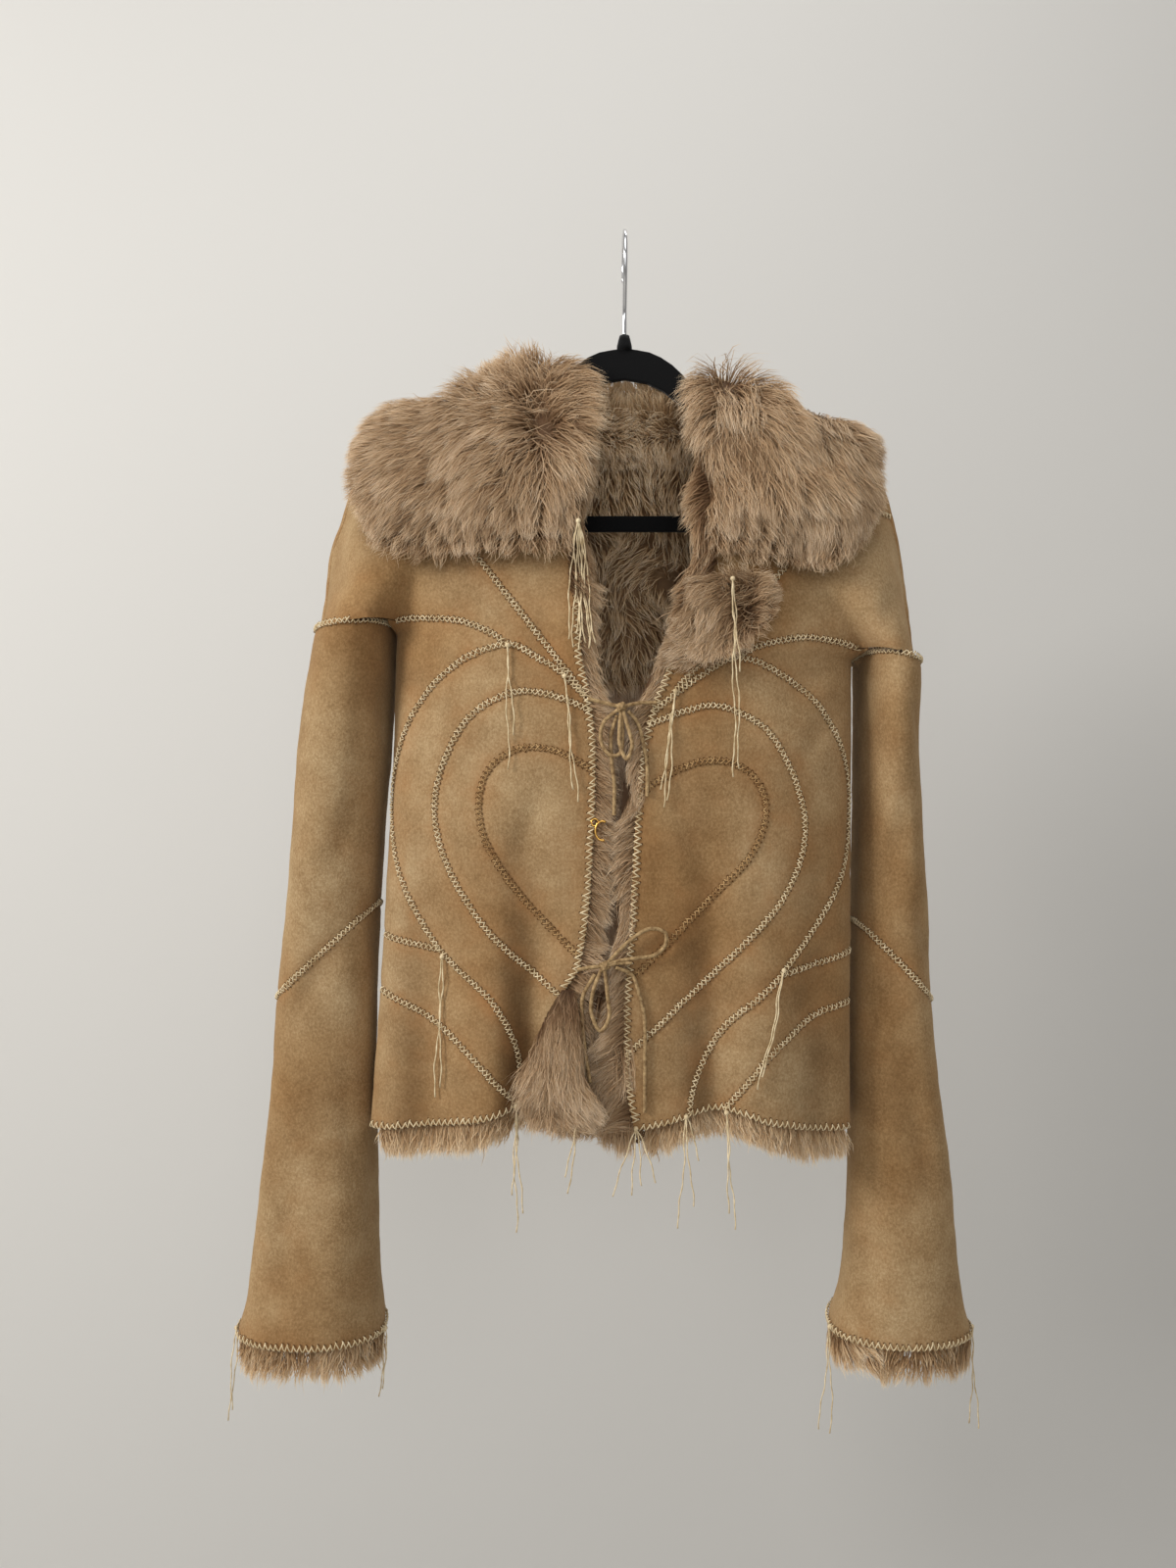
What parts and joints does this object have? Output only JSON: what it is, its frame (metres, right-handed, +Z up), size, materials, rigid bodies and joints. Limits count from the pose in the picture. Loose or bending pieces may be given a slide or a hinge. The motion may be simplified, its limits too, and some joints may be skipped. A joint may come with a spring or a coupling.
{
  "type": "shearling leather jacket on a hanger",
  "caption": "Cropped suede shearling jacket with bell sleeves, wide wool collar, curved whip-stitched panels, loose thread tails and braided lace ties, hung open on a slim velvet hanger",
  "frame": {"origin": "underside of the hook's top, where the hook rests on a rail; the jacket hangs below it", "axes": "+Z up, +X to the right seen from the front, +Y to the back; the jacket's open front faces -Y"},
  "size_m": [0.596, 0.1709, 0.953],
  "materials": {
    "suede": "matte",
    "fur": "matte",
    "thread": "matte",
    "lace": "matte",
    "velvet": "matte",
    "chrome": "polished"
  },
  "bodies": {
    "root": {"shoulder_left": "suede", "yoke_left": "suede", "neck_panel_left": "suede", "ring_outer_left": "suede", "ring_middle_left": "suede", "ring_centre_left": "suede", "side_panel_left": "suede", "lower_panel_left": "suede", "lowest_panel_left": "suede", "upper_sleeve_left": "suede", "lower_sleeve_left": "suede", "shoulder_right": "suede", "yoke_right": "suede", "neck_panel_right": "suede", "ring_outer_right": "suede", "ring_middle_right": "suede", "ring_centre_right": "suede", "side_panel_right": "suede", "lower_panel_right": "suede", "lowest_panel_right": "suede", "upper_sleeve_right": "suede", "lower_sleeve_right": "suede", "back_yoke": "suede", "back_body": "suede", "collar_left": "fur", "collar_right": "fur", "collar_back": "fur", "lining_back": "fur", "lapel_right": "fur", "corner_left": "fur", "edge_fur_left": "fur", "edge_fur_right": "fur", "hem_fur_left": "fur", "hem_fur_right": "fur", "hem_fur_back": "fur", "cuff_fur_left": "fur", "cuff_fur_right": "fur", "hanger_arms": "velvet", "hanger_bar": "velvet", "hanger_hook": "chrome", "bow_upper": "lace", "tie_upper_left": "lace", "tie_upper_right": "lace", "bow_lower": "lace", "tie_lower_left": "lace", "tie_lower_right": "lace", "thread_neck_left": "thread", "thread_neck_right": "thread", "thread_yoke_left": "thread", "thread_front_left": "thread", "thread_front_right": "thread", "thread_side_left": "thread", "thread_side_right": "thread", "thread_hem_left": "thread", "thread_hem_centre": "thread", "thread_hem_right": "thread", "thread_cuff_left_outer": "thread", "thread_cuff_left_inner": "thread", "thread_cuff_right_inner": "thread", "thread_cuff_right_outer": "thread"}
  },
  "joints": []
}
